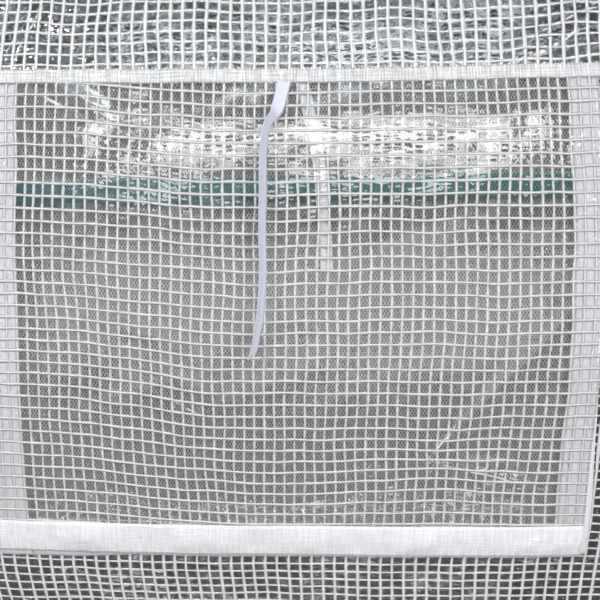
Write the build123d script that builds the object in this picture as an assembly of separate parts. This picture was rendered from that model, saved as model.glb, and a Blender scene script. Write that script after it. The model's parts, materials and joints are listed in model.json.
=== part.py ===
# One side-wall bay of a polytunnel greenhouse, with the roll-up window that the bay is built round.
# Two steel hoops stand one bay apart. Each is a leg, a bend tube and a shoulder tube, plugged together.
# Three purlins with pressed and drilled ends are bolted to the inside of the hoops.
# A reinforced film cover lies over the outside of the hoops and has a window opening cut through it.
# Insect netting closes the opening, and a film flap hangs over it from a sewn binding.
# Fastening tape holds the flap's sides and foot, and two ties hang from the binding.
#
# Millimetres. X runs along the tunnel, Y points into the tunnel and Z is up.
# The origin is the middle of the left foot's underside.

import math
import os

from build123d import *

# Hoops
bay_pitch = 1000.0  # from hoop to hoop
hoop_diameter = 25.0
hoop_wall = 1.2
springing_height = 900.0  # where the straight wall turns into the arch
arch_radius = 1000.0  # to the tube's axis
shoulder_angle = 45.0  # how far round the arch the shoulder tube reaches
leg_joint_drop = 100.0  # from the springing down to the joint of the leg and the bend tube
arch_joint_rise = 110.0  # from the window purlin's bolt up to the joint of the bend and shoulder tubes
spigot_length = 60.0  # swaged end that plugs into the tube below
spigot_clearance = 0.1
neck_length = 6.0  # thick wall between a tube and its swaged end
socket_length = 60.0  # straight open end for the next tube of the hoop

# Foot plugs
foot_flange = 4.0
foot_chamfer = 1.0
foot_spigot_length = 20.0
foot_clearance = 0.15

# Purlins
purlin_diameter = 20.0
purlin_wall = 1.2
tongue_thickness = 2.6  # both walls pressed together
pressed_slit = 0.4  # what is left of the bore where the taper meets the tongue
tongue_length = 20.0  # from the bolt to the start of the taper
taper_length = 36.0
bolt_hole_diameter = 6.5
purlin_clearance = 0.1  # between the tongue and the hoop
base_rail_height = 40.0
window_purlin_drop = 87.0  # below the foot of the binding
shoulder_purlin_drop = 50.0  # below the end of the arch

# Cover film. The real film is 0.2 mm thick.
film_thickness = 1.0
film_clearance = 0.3  # between the film and the hoops it lies on
film_overhang = 22.0  # past each hoop's axis
film_ground_gap = 6.0

# Window
opening_width = 478.0
opening_height = 395.0
opening_rise = 19.0  # from the springing up to the opening's foot
tape_width = 25.0  # down both sides
foot_tape_width = 33.0
tape_thickness = 1.2
layer_gap = 0.1  # between one sewn layer and the next
net_thickness = 0.8
net_margin = 15.0  # how far the netting is sewn on round the opening
flap_thickness = 1.0
binding_height = 12.0
binding_skin = 1.2
binding_grip = 9.0  # how much of the flap's head the binding holds

# Ties
tie_width = 11.0
tie_thickness = 0.8
tie_hem = 2.0  # from the head of the binding to the front tie's head
back_tie_gap = 0.8  # between the back tie and the outside of the cover

# Routes of the ties: across from the middle of the opening, and down from the foot of the binding.
front_tie_route = [(-12.0, 12.0), (-13.0, -8.0), (-21.0, -28.0), (-29.0, -52.0), (-31.0, -90.0),
                   (-30.0, -130.0), (-29.5, -165.0), (-33.0, -198.0), (-38.5, -228.0)]
back_tie_route = [(3.0, 4.0), (6.0, -18.0), (12.0, -42.0), (16.0, -72.0), (18.5, -105.0),
                  (20.0, -134.0), (21.0, -159.0)]

# Worked out from the sizes above
hoop_radius = hoop_diameter / 2
bore_radius = hoop_radius - hoop_wall
spigot_radius = bore_radius - spigot_clearance
swage_bore_radius = spigot_radius - hoop_wall
leg_joint = springing_height - leg_joint_drop
cover_head = springing_height + arch_radius * math.radians(shoulder_angle)
film_inside = hoop_radius + film_clearance
film_outside = film_inside + film_thickness
under_tape_inside = film_outside + layer_gap
over_tape_inside = under_tape_inside + tape_thickness + layer_gap
flap_inside = over_tape_inside + tape_thickness + layer_gap
flap_outside = flap_inside + flap_thickness
net_outside = film_inside - layer_gap
binding_outside = flap_outside + binding_skin
middle = bay_pitch / 2
opening_left = middle - opening_width / 2
opening_right = middle + opening_width / 2
opening_foot = springing_height + opening_rise
opening_head = opening_foot + opening_height
flap_left = opening_left - tape_width
flap_right = opening_right + tape_width
flap_foot = opening_foot - foot_tape_width
binding_head = opening_head + binding_height
cover_left = -film_overhang
cover_right = bay_pitch + film_overhang
back_tie_inside = film_outside + back_tie_gap
window_purlin_along = opening_head - window_purlin_drop
arch_joint = window_purlin_along + arch_joint_rise
shoulder_purlin_along = cover_head - shoulder_purlin_drop


def wall_lean(along):
    """How far the wall leans in, as an angle, at a distance along it from the ground."""
    return max(0.0, along - springing_height) / arch_radius


def on_wall(outward, along):
    """A point in the YZ plane: outward from the hoop's axis, and along the wall from the ground."""
    if along <= springing_height:
        return (-outward, along)
    lean = wall_lean(along)
    radius = arch_radius + outward
    return (arch_radius - radius * math.cos(lean), springing_height + radius * math.sin(lean))


def wall_edges(outward, start, end):
    """The line that follows the wall at one distance, from one place along it to another."""
    edges = []
    if start < springing_height:
        edges.append(Line(on_wall(outward, start), on_wall(outward, min(end, springing_height))))
    if end > springing_height:
        begin = max(start, springing_height)
        edges.append(ThreePointArc(on_wall(outward, begin), on_wall(outward, (begin + end) / 2),
                                   on_wall(outward, end)))
    return edges


def wall_sheet(left, right, inside, outside, low, high):
    """A sheet or strip that follows the wall, between two distances from the hoop's axis."""
    outline = wall_edges(inside, low, high) + wall_edges(outside, low, high)
    outline += [Line(on_wall(inside, low), on_wall(outside, low)),
                Line(on_wall(inside, high), on_wall(outside, high))]
    section = Plane.YZ.offset(left) * make_face(outline)
    return extrude(section, right - left)


def bolt_hole(x, along):
    """The drill that goes through a hoop and the purlin end behind it."""
    y, z = on_wall(0, along)
    lean = wall_lean(along)
    axis = Plane(origin=(x, y, z), x_dir=(1, 0, 0), z_dir=(0, -math.cos(lean), math.sin(lean)))
    return axis * Cylinder(bolt_hole_diameter / 2, 2 * (hoop_diameter + 2 * tongue_thickness))


def foot_plug(x):
    """A plug that closes the foot of a leg and stands on the ground."""
    flange = Pos(x, 0, foot_flange / 2) * Cylinder(hoop_radius, foot_flange)
    flange = chamfer(flange.edges().group_by(Axis.Z)[0], foot_chamfer)
    spigot_height = foot_flange + foot_spigot_length
    spigot = Pos(x, 0, spigot_height / 2) * Cylinder(bore_radius - foot_clearance, spigot_height)
    return flange + spigot


def hoop_ring(x, along, outer_radius, inner_radius):
    """The section of a hoop tube, square to the hoop at a distance along the wall."""
    y, z = on_wall(0, along)
    lean = wall_lean(along)
    square = Plane(origin=(x, y, z), x_dir=(1, 0, 0), z_dir=(0, math.sin(lean), math.cos(lean)))
    return square * (Circle(outer_radius) - Circle(inner_radius))


def hoop_stretch(x, start, end, outer_radius, inner_radius, straight_end=0.0):
    """A stretch of tube that follows the hoop's axis and may end in a straight."""
    edges = wall_edges(0, start, end)
    if straight_end:
        y, z = on_wall(0, end)
        lean = wall_lean(end)
        edges.append(Line((y, z), (y + straight_end * math.sin(lean), z + straight_end * math.cos(lean))))
    path = Plane.YZ.offset(x) * Curve(edges)
    return sweep(hoop_ring(x, start, outer_radius, inner_radius), path=path)


def plugged_tube(x, start, end, bolt_along, straight_end=0.0):
    """A hoop tube whose lower end is swaged down to plug into the tube below it."""
    tube = hoop_stretch(x, start + neck_length, end, hoop_radius, bore_radius, straight_end)
    tube += hoop_stretch(x, start, start + neck_length, hoop_radius, swage_bore_radius)
    tube += hoop_stretch(x, start - spigot_length, start, spigot_radius, swage_bore_radius)
    return tube - bolt_hole(x, bolt_along)


def leg_tube(x):
    """The straight leg of a hoop, open at the top for the bend tube."""
    tube = hoop_stretch(x, foot_flange, leg_joint, hoop_radius, bore_radius)
    return tube - bolt_hole(x, base_rail_height)


def round_section(diameter):
    """A tube's round section as four arcs, so that each side of a pressed one has its own."""
    radius = diameter / 2
    corner = radius * math.sqrt(0.5)
    return make_face([ThreePointArc((-corner, corner), (-radius, 0), (-corner, -corner)),
                      ThreePointArc((-corner, -corner), (0, -radius), (corner, -corner)),
                      ThreePointArc((corner, -corner), (radius, 0), (corner, corner)),
                      ThreePointArc((corner, corner), (0, radius), (-corner, corner))])


def pressed_width(diameter, thickness):
    """How wide a tube gets when it is pressed to a thickness and its wall keeps its length."""
    return thickness + math.pi * (diameter - thickness) / 2


def pressed_section(diameter, thickness):
    """A tube's section once it is pressed flat, with two straight sides and two round ends."""
    half_width = pressed_width(diameter, thickness) / 2
    side = thickness / 2
    corner = half_width - side
    return make_face([Line((-side, corner), (-side, -corner)),
                      ThreePointArc((-side, -corner), (0, -half_width), (side, -corner)),
                      Line((side, -corner), (side, corner)),
                      ThreePointArc((side, corner), (0, half_width), (-side, corner))])


def tapered_half(diameter, thickness):
    """Half of a purlin as a solid bar, from its middle along +X to where the tongue starts."""
    straight = bay_pitch / 2 - tongue_length - taper_length
    body = extrude(Plane.YZ * round_section(diameter), straight)
    body += loft([Plane.YZ.offset(straight) * round_section(diameter),
                  Plane.YZ.offset(straight + taper_length) * pressed_section(diameter, thickness)])
    return body


def purlin_tongue():
    """The flat, round-ended and drilled end of a purlin."""
    width = pressed_width(purlin_diameter, tongue_thickness)
    start = bay_pitch / 2 - tongue_length
    tongue = extrude(Plane.YZ.offset(start) * pressed_section(purlin_diameter, tongue_thickness),
                     tongue_length + width / 2)
    outline = Plane.XZ * (Pos(bay_pitch / 2, 0) * Circle(width / 2)
                          + Pos(start + tongue_length / 2, 0) * Rectangle(tongue_length, width))
    return tongue & extrude(outline, tongue_thickness, both=True)


def purlin(along):
    """A tube whose ends are pressed flat, rounded and drilled, on the inside of the hoops."""
    half = tapered_half(purlin_diameter, tongue_thickness)
    half -= tapered_half(purlin_diameter - 2 * purlin_wall, pressed_slit)
    half += purlin_tongue()
    tube = half + mirror(half, Plane.YZ)
    y, z = on_wall(-(hoop_radius + purlin_clearance + tongue_thickness / 2), along)
    tube = Pos(middle, y, z) * Rot(-math.degrees(wall_lean(along)), 0, 0) * tube
    for x in (0, bay_pitch):
        tube -= bolt_hole(x, along)
    return tube


def binding():
    """The sewn binding along the seam, with a groove that holds the head of the flap."""
    body = wall_sheet(cover_left, cover_right, film_outside, binding_outside, opening_head, binding_head)
    groove = wall_sheet(flap_left, flap_right, flap_inside - layer_gap, flap_outside + layer_gap,
                        opening_head, opening_head + binding_grip)
    return body - groove


def window_tapes(inside):
    """Fastening tape down both sides of the window and along its foot, on one layer."""
    outside = inside + tape_thickness
    left = wall_sheet(flap_left, opening_left, inside, outside, flap_foot, opening_head)
    right = wall_sheet(opening_right, flap_right, inside, outside, flap_foot, opening_head)
    foot = wall_sheet(opening_left, opening_right, inside, outside, flap_foot, opening_foot)
    return left, right, foot


def tie(name, route, inside, head):
    """A flat tie that hangs down the wall along a route of straight runs and tangent arcs."""
    outside = inside + tie_thickness
    points = [(middle + across, on_wall(inside, opening_head + down)[1]) for across, down in route]
    runs = [math.dist(a, b) for a, b in zip(points, points[1:])]
    radii = []
    for before, here, after, run_in, run_out in zip(points, points[1:], points[2:], runs, runs[1:]):
        turn = abs(math.atan2(here[0] - before[0], here[1] - before[1])
                   - math.atan2(after[0] - here[0], after[1] - here[1]))
        turn = min(turn, 2 * math.pi - turn)
        radii.append(0.45 * min(run_in, run_out) / math.tan(turn / 2))
    print(name, "radii", [round(radius) for radius in radii], "length", round(sum(runs)))
    ribbon = Plane.XZ * trace(FilletPolyline(*points, radius=radii), tie_width)
    lowest = opening_head + min(down for _, down in route)
    layer = wall_sheet(flap_left, flap_right, inside, outside, lowest - tie_width, head)
    return extrude(ribbon, arch_radius, both=True) & layer


under_tape_left, under_tape_right, under_tape_foot = window_tapes(under_tape_inside)
over_tape_left, over_tape_right, over_tape_foot = window_tapes(over_tape_inside)

parts = {
    "left_foot_plug": foot_plug(0),
    "right_foot_plug": foot_plug(bay_pitch),
    "left_leg_tube": leg_tube(0),
    "right_leg_tube": leg_tube(bay_pitch),
    "left_bend_tube": plugged_tube(0, leg_joint, arch_joint, window_purlin_along),
    "right_bend_tube": plugged_tube(bay_pitch, leg_joint, arch_joint, window_purlin_along),
    "left_shoulder_tube": plugged_tube(0, arch_joint, cover_head, shoulder_purlin_along, socket_length),
    "right_shoulder_tube": plugged_tube(bay_pitch, arch_joint, cover_head, shoulder_purlin_along,
                                        socket_length),
    "base_rail": purlin(base_rail_height),
    "window_purlin": purlin(window_purlin_along),
    "shoulder_purlin": purlin(shoulder_purlin_along),
    "left_wall_film": wall_sheet(cover_left, opening_left, film_inside, film_outside,
                                 film_ground_gap, opening_head),
    "right_wall_film": wall_sheet(opening_right, cover_right, film_inside, film_outside,
                                  film_ground_gap, opening_head),
    "lower_wall_film": wall_sheet(opening_left, opening_right, film_inside, film_outside,
                                  film_ground_gap, opening_foot),
    "roof_film": wall_sheet(cover_left, cover_right, film_inside, film_outside,
                            opening_head, cover_head),
    "insect_net": wall_sheet(opening_left - net_margin, opening_right + net_margin,
                             net_outside - net_thickness, net_outside,
                             opening_foot - net_margin, opening_head + net_margin),
    "left_window_tape": under_tape_left,
    "right_window_tape": under_tape_right,
    "foot_window_tape": under_tape_foot,
    "left_flap_tape": over_tape_left,
    "right_flap_tape": over_tape_right,
    "foot_flap_tape": over_tape_foot,
    "flap_film": wall_sheet(flap_left, flap_right, flap_inside, flap_outside,
                            flap_foot, opening_head + binding_grip),
    "flap_binding": binding(),
    "front_tie": tie("front_tie", front_tie_route, binding_outside, binding_head - tie_hem),
    "back_tie": tie("back_tie", back_tie_route, back_tie_inside, opening_head),
}

os.makedirs("parts", exist_ok=True)
for name, shape in parts.items():
    export_step(shape, f"parts/{name}.step")
    print(name, "valid", shape.is_valid, "solids", len(shape.solids()), round(shape.volume))
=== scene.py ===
import json
import math

import bpy
import numpy as np
from mathutils import Matrix, Vector

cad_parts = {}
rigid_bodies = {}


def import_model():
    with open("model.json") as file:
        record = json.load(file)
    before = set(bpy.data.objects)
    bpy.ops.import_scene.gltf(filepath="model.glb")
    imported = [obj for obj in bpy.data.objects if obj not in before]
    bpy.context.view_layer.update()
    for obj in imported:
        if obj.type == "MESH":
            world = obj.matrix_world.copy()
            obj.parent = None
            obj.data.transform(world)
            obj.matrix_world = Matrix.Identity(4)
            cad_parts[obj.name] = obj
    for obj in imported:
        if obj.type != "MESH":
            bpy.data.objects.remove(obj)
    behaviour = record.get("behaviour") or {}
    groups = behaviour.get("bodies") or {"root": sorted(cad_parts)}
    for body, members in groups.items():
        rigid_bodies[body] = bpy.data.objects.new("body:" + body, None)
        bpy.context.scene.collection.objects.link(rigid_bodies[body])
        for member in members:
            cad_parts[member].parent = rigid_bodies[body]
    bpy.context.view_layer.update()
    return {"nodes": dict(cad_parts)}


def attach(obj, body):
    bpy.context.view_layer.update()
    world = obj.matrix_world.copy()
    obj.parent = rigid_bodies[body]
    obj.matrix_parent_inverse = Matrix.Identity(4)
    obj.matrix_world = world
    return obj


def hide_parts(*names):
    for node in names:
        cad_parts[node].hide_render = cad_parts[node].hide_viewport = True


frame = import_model()
nodes = frame["nodes"]
scene = bpy.context.scene
scene.view_settings.view_transform = "Standard"
print("frame loaded,", len(nodes), "nodes")

# The wall stands straight to the springing and then leans in round the arch. Places on it are given
# across (x), along (up the wall from the ground) and outward (from the hoops' axis), in metres.
wall = {"springing": 0.900, "archRadius": 1.000, "middle": 0.500}
cover = {"left": -0.022, "right": 1.022, "foot": 0.006, "head": 1.6854}
window = {"left": 0.261, "right": 0.739, "foot": 0.919, "head": 1.314, "tape": 0.025, "footTape": 0.033,
          "netMargin": 0.015, "bindingHeight": 0.012, "bindingGrip": 0.009}
layer = {"net": 0.0123, "cover": 0.0133, "coverTape": 0.0145, "backTie": 0.0150, "flapTape": 0.0158,
         "flap": 0.0170, "footTape": 0.0178, "binding": 0.0138, "bindingFace": 0.0187, "frontTie": 0.0193}

# What every soft layer shares, so that no layer crosses another: the window hangs a little out of
# level, sags, bows at its sides, and draws in between the hoops.
slack = {"tilt": -0.0127, "footSag": 0.0037, "headSag": 0.0017, "rightBow": 0.0074, "leftBow": 0.0017,
         "rightSkew": -0.0011, "leftSkew": 0.0059, "cornerKick": 0.0055, "leftKick": 0.0045, "draw": 0.0035,
         "swell": 0.0015, "swellWaves": (0.11, 0.42), "swellLean": 1.4, "fadeAcross": (0.27, 0.50),
         "fadeAlong": (0.24, 0.45), "cornerPart": (0.3, 1.0), "leftKickPart": (0.98, 1.12),
         "lowPart": (-1.15, -0.55), "lowest": -1.2, "seed": 4}

opening = [window[side] for side in ("left", "right", "foot", "head")]
openLeft, openRight, openFoot, openHead = opening
flapLeft, flapRight = openLeft - window["tape"], openRight + window["tape"]
flapFoot, flapHead = openFoot - window["footTape"], openHead + window["bindingGrip"]
bindingTop = openHead + window["bindingHeight"]


def ease(value, start, end):
    # 0 before start, 1 after end, smooth between
    part = np.clip((value - start) / (end - start), 0.0, 1.0)
    return part * part * (3 - 2 * part)


def waves(across, along, seed, shortest, longest, count=7, lean=1.0):
    # smooth random waves between about -1 and 1; lean above 1 draws them out along the wall
    draw = np.random.default_rng(seed)
    total = np.zeros(np.shape(across))
    size = 0.0
    for length in np.geomspace(shortest, longest, count):
        turn, phase = draw.uniform(0, math.pi), draw.uniform(0, 2 * math.pi)
        share = (length / longest) ** 0.8
        total += share * np.sin(2 * math.pi * (across * math.cos(turn) + along * math.sin(turn) / lean)
                                / length + phase)
        size += share
    return total * 1.8 / size


def onWall(across, along, outward):
    lean = np.maximum(0.0, along - wall["springing"]) / wall["archRadius"]
    radius = wall["archRadius"] + outward
    depth = wall["archRadius"] - radius * np.cos(lean)
    height = np.minimum(along, wall["springing"]) + radius * np.sin(lean)
    return np.stack([across, depth, height], axis=-1)


def hang(across, along, outward):
    # a point of a soft layer, with the slack that all of them share
    halfWidth = (openRight - openLeft) / 2
    halfHeight = (openHead - openFoot) / 2
    centre = openFoot + halfHeight
    side = (across - wall["middle"]) / halfWidth
    level = np.maximum(slack["lowest"], (along - centre) / halfHeight)
    fade = 1 - ease(np.abs(across - wall["middle"]), *slack["fadeAcross"])
    fade = fade * (1 - ease(np.abs(along - centre), *slack["fadeAlong"]))
    bulge = np.cos(np.clip(side, -2, 2) * math.pi / 2)
    bow = np.cos(np.clip(level, -2, 2) * math.pi / 2)
    sag = slack["footSag"] + (slack["headSag"] - slack["footSag"]) * (1 + level) / 2
    toRight = (1 + side) / 2
    down = slack["tilt"] * (across - wall["middle"]) - sag * bulge
    low = 1 - ease(level, *slack["lowPart"])
    sideways = (-slack["tilt"] * (along - centre)
                + toRight * (slack["rightBow"] * bow + slack["rightSkew"] * level)
                + (1 - toRight) * (slack["leftBow"] * bow + slack["leftSkew"] * level)
                + slack["cornerKick"] * ease(side, *slack["cornerPart"]) * low
                - slack["leftKick"] * ease(-side, *slack["leftKickPart"]) * low)
    between = np.sin(np.clip(across, 0, 1) * math.pi)
    swell = slack["swell"] * waves(across, along, slack["seed"], *slack["swellWaves"],
                                   lean=slack["swellLean"])
    swell = swell - slack["draw"]
    return onWall(across + fade * sideways, along + fade * down, outward + between * swell)


def distances(line):
    # how far along its line each point lies
    return np.concatenate([[0], np.cumsum(np.linalg.norm(np.diff(line, axis=0), axis=1))])


def gridLines(stops, step):
    # lines from stop to stop, as near to a step apart as whole cells allow
    lines = [np.array([stops[0]])]
    for start, end in zip(stops, stops[1:]):
        lines.append(np.linspace(start, end, max(1, round((end - start) / step)) + 1)[1:])
    return np.concatenate(lines)


def meshObject(name, points, faces, material, cloth=None):
    mesh = bpy.data.meshes.new(name)
    mesh.from_pydata(np.asarray(points).tolist(), [], [list(face) for face in faces])
    if cloth is not None:
        corner = np.zeros(len(mesh.loops), dtype=np.int32)
        mesh.loops.foreach_get("vertex_index", corner)
        layerOfCloth = mesh.uv_layers.new(name="cloth")
        layerOfCloth.data.foreach_set("uv", np.asarray(cloth, np.float32)[corner].ravel())
    mesh.shade_smooth()
    mesh.materials.append(material)
    mesh.update()
    obj = bpy.data.objects.new(name, mesh)
    scene.collection.objects.link(obj)
    return obj


def ringFaces(firsts, sides):
    # quads between successive rings of points, each ring known by its first point's number
    faces = []
    for here, there in zip(firsts, firsts[1:]):
        for spot in range(sides):
            after = (spot + 1) % sides
            faces.append((here + spot, there + spot, there + after, here + after))
    return faces


def loftObject(name, points, ring, material, cloth):
    # a skin over successive rings of points, closed at both ends
    count = len(points)
    faces = ringFaces(range(0, count, ring), ring)
    faces += [tuple(range(ring)), tuple(range(count - 1, count - ring - 1, -1))]
    return meshObject(name, points, faces, material, cloth)


def sheetObject(name, stopsAcross, stopsAlong, cell, place, thickness, material, cloth=None, hole=None):
    # A thin closed sheet over a grid with lines at the stops. place(across, along, outward) gives its
    # points, cloth its flat coordinates, and hole the four sides of what is cut out of it.
    across, along = gridLines(stopsAcross, cell), gridLines(stopsAlong, cell)
    x, s = np.meshgrid(across, along, indexing="ij")
    front, back = place(x, s, thickness / 2), place(x, s, -thickness / 2)
    flat = np.stack([x, s] if cloth is None else cloth(x, s), axis=-1).reshape(-1, 2)
    count = x.size
    index = np.arange(count).reshape(x.shape)
    keep = np.ones((len(across) - 1, len(along) - 1), bool)
    if hole is not None:
        midX, midS = (across[1:] + across[:-1]) / 2, (along[1:] + along[:-1]) / 2
        inX = (midX > hole[0]) & (midX < hole[1])
        inS = (midS > hole[2]) & (midS < hole[3])
        keep &= ~(inX[:, None] & inS[None, :])
    a, b, c, d = index[:-1, :-1], index[1:, :-1], index[1:, 1:], index[:-1, 1:]
    quads = np.stack([a[keep], b[keep], c[keep], d[keep]], axis=1)
    padded = np.pad(keep, 1)
    rims = []
    for first, last, near in ((a, b, padded[1:-1, :-2]), (b, c, padded[2:, 1:-1]),
                              (c, d, padded[1:-1, 2:]), (d, a, padded[:-2, 1:-1])):
        edge = keep & ~near
        rims.append(np.stack([last[edge], first[edge], first[edge] + count, last[edge] + count], axis=1))
    faces = np.concatenate([quads, quads[:, ::-1] + count] + rims)
    used, faces = np.unique(faces, return_inverse=True)
    points = np.concatenate([front.reshape(-1, 3), back.reshape(-1, 3)])[used]
    return meshObject(name, points, faces.reshape(-1, 4), material, np.concatenate([flat, flat])[used])


def feed(socket, value):
    # a socket takes a plain value, another node's output, or a node, which gives its first output
    if isinstance(value, bpy.types.Node):
        value = value.outputs[0]
    if isinstance(value, bpy.types.NodeSocket):
        socket.id_data.links.new(value, socket)
    else:
        socket.default_value = value


def put(tree, kind, settings=None, **inputs):
    # adds a node, with its settings as properties and its inputs by name
    node = tree.nodes.new(kind)
    for key, value in (settings or {}).items():
        setattr(node, key, value)
    for key, value in inputs.items():
        feed(node.inputs[key.replace("_", " ")], value)
    return node


def nodeGroup(name, kind, inputs, outputs):
    # A group's inputs are named with a kind of socket, or with a number, which is a float's own value.
    tree = bpy.data.node_groups.new(name, kind)
    for label, what in inputs.items():
        socketKind = what if isinstance(what, str) else "Float"
        socket = tree.interface.new_socket(label, in_out="INPUT", socket_type="NodeSocket" + socketKind)
        if what is not socketKind:
            socket.default_value = what
    for label, what in outputs.items():
        tree.interface.new_socket(label, in_out="OUTPUT", socket_type="NodeSocket" + what)
    return tree, put(tree, "NodeGroupInput").outputs, put(tree, "NodeGroupOutput").inputs


def plantTree(name, sizes):
    # a Geometry Nodes tree that grows something along lines, which carry the way they face
    tree, given, result = nodeGroup(name, "GeometryNodeTree", {"Geometry": "Geometry", **sizes},
                                    {"Geometry": "Geometry"})
    curve = put(tree, "GeometryNodeMeshToCurve", Mesh=given["Geometry"])
    facing = put(tree, "GeometryNodeInputNamedAttribute", {"data_type": "FLOAT_VECTOR"}, Name="outward")
    return tree, given, result, curve, facing.outputs["Attribute"]


def finishTree(tree, shape, given, result):
    smooth = put(tree, "GeometryNodeSetShadeSmooth", Geometry=shape)
    real = put(tree, "GeometryNodeRealizeInstances", Geometry=smooth)
    feed(result["Geometry"], put(tree, "GeometryNodeSetMaterial", Geometry=real, Material=given["Material"]))
    return tree


def threadTree():
    # turns lines into flat threads that face outward
    tree, given, result, curve, facing = plantTree(
        "thread", {"Width": "Float", "Thickness": "Float", "Sides": "Int", "Uneven": "Float",
                   "Material": "Material"})
    turned = put(tree, "GeometryNodeSetCurveNormal", {"mode": "FREE"}, Curve=curve, Normal=facing)
    ring = put(tree, "GeometryNodeCurvePrimitiveCircle", {"mode": "RADIUS"}, Radius=0.5,
               Resolution=given["Sides"])
    sizes = put(tree, "ShaderNodeCombineXYZ", X=given["Thickness"], Y=given["Width"], Z=1.0)
    section = put(tree, "GeometryNodeTransform", Geometry=ring, Scale=sizes)
    grain = put(tree, "ShaderNodeTexNoise", Scale=170.0, Detail=1.0)
    uneven = times(tree, minus(tree, grain, 0.5), given["Uneven"])
    sweep = put(tree, "GeometryNodeCurveToMesh", Curve=turned, Profile_Curve=section,
                Scale=plus(tree, uneven, 1.0), Fill_Caps=True)
    return finishTree(tree, sweep, given, result)


def stitchTree():
    # sews a row of stitches along lines
    tree, given, result, curve, facing = plantTree(
        "stitches", {"Pitch": "Float", "Length": "Float", "Thread": "Float", "Material": "Material"})
    spaced = put(tree, "GeometryNodeResampleCurve", {"mode": "LENGTH"}, Curve=curve, Length=given["Pitch"])
    places = put(tree, "GeometryNodeCurveToPoints", {"mode": "EVALUATED"}, Curve=spaced)
    alongRow = put(tree, "FunctionNodeAlignRotationToVector", {"axis": "X"}, Vector=places.outputs["Tangent"])
    outOfRow = put(tree, "FunctionNodeAlignRotationToVector", {"axis": "Z", "pivot_axis": "X"},
                   Rotation=alongRow, Vector=facing)
    bead = put(tree, "GeometryNodeMeshUVSphere", Segments=6, Rings=4, Radius=0.5)
    sizes = put(tree, "ShaderNodeCombineXYZ", X=given["Length"], Y=given["Thread"], Z=given["Thread"])
    sewn = put(tree, "GeometryNodeInstanceOnPoints", Points=places, Instance=bead, Rotation=outOfRow,
               Scale=sizes)
    return finishTree(tree, sewn, given, result)


def grownObject(name, lines, place, tree, values, material):
    # Lines are (across, along, outward) arrays. The tree turns them into a plain mesh.
    points, edges, outward = [], [], []
    count = 0
    for across, along, out in lines:
        here = place(across, along, out)
        away = place(across, along, out + 0.001) - here
        points.append(here)
        outward.append(away / np.linalg.norm(away, axis=1, keepdims=True))
        numbers = np.arange(count, count + len(here))
        edges.append(np.stack([numbers[:-1], numbers[1:]], axis=1))
        count += len(here)
    mesh = bpy.data.meshes.new(name + "Lines")
    mesh.from_pydata(np.concatenate(points).tolist(), np.concatenate(edges).tolist(), [])
    facing = mesh.attributes.new("outward", "FLOAT_VECTOR", "POINT")
    facing.data.foreach_set("vector", np.concatenate(outward).astype(np.float32).ravel())
    obj = bpy.data.objects.new(name, mesh)
    scene.collection.objects.link(obj)
    modifier = obj.modifiers.new("grow", "NODES")
    modifier.node_group = tree
    for item in tree.interface.items_tree:
        if item.in_out == "INPUT" and item.name != "Geometry":
            modifier[item.identifier] = material if item.name == "Material" else values[item.name]
    grown = bpy.data.meshes.new_from_object(obj.evaluated_get(bpy.context.evaluated_depsgraph_get()))
    obj.modifiers.clear()
    obj.data = grown
    grown.name = name
    if not grown.materials:
        grown.materials.append(material)
    bpy.data.meshes.remove(mesh)
    return obj


def maths(tree, operation, first, second=None, third=0.0, clamp=False):
    node = put(tree, "ShaderNodeMath", {"operation": operation, "use_clamp": clamp})
    for socket, value in zip(node.inputs, (first, second, third)):
        if value is not None:
            feed(socket, value)
    return node.outputs[0]


def times(tree, *values):
    # the product of its values, taken in order
    product = values[0]
    for value in values[1:]:
        product = maths(tree, "MULTIPLY", product, value)
    return product


def plus(tree, first, second, clamp=False):
    return maths(tree, "ADD", first, second, clamp=clamp)


def minus(tree, first, second, clamp=False):
    return maths(tree, "SUBTRACT", first, second, clamp=clamp)


def timesPlus(tree, first, second, third, clamp=False):
    return maths(tree, "MULTIPLY_ADD", first, second, third, clamp)


def axes(tree, vector):
    return put(tree, "ShaderNodeSeparateXYZ", Vector=vector).outputs


def vectorMaths(tree, operation, *values):
    node = put(tree, "ShaderNodeVectorMath", {"operation": operation})
    for socket, value in zip(node.inputs, values):
        feed(socket, value)
    return node.outputs


def noise(tree, vector, scale, detail, **more):
    return put(tree, "ShaderNodeTexNoise", Vector=vector, Scale=scale, Detail=detail, **more)


def mapped(tree, value, low, high, toLow=0.0, toHigh=1.0):
    return put(tree, "ShaderNodeMapRange", Value=value, From_Min=low, From_Max=high, To_Min=toLow,
               To_Max=toHigh)


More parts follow.
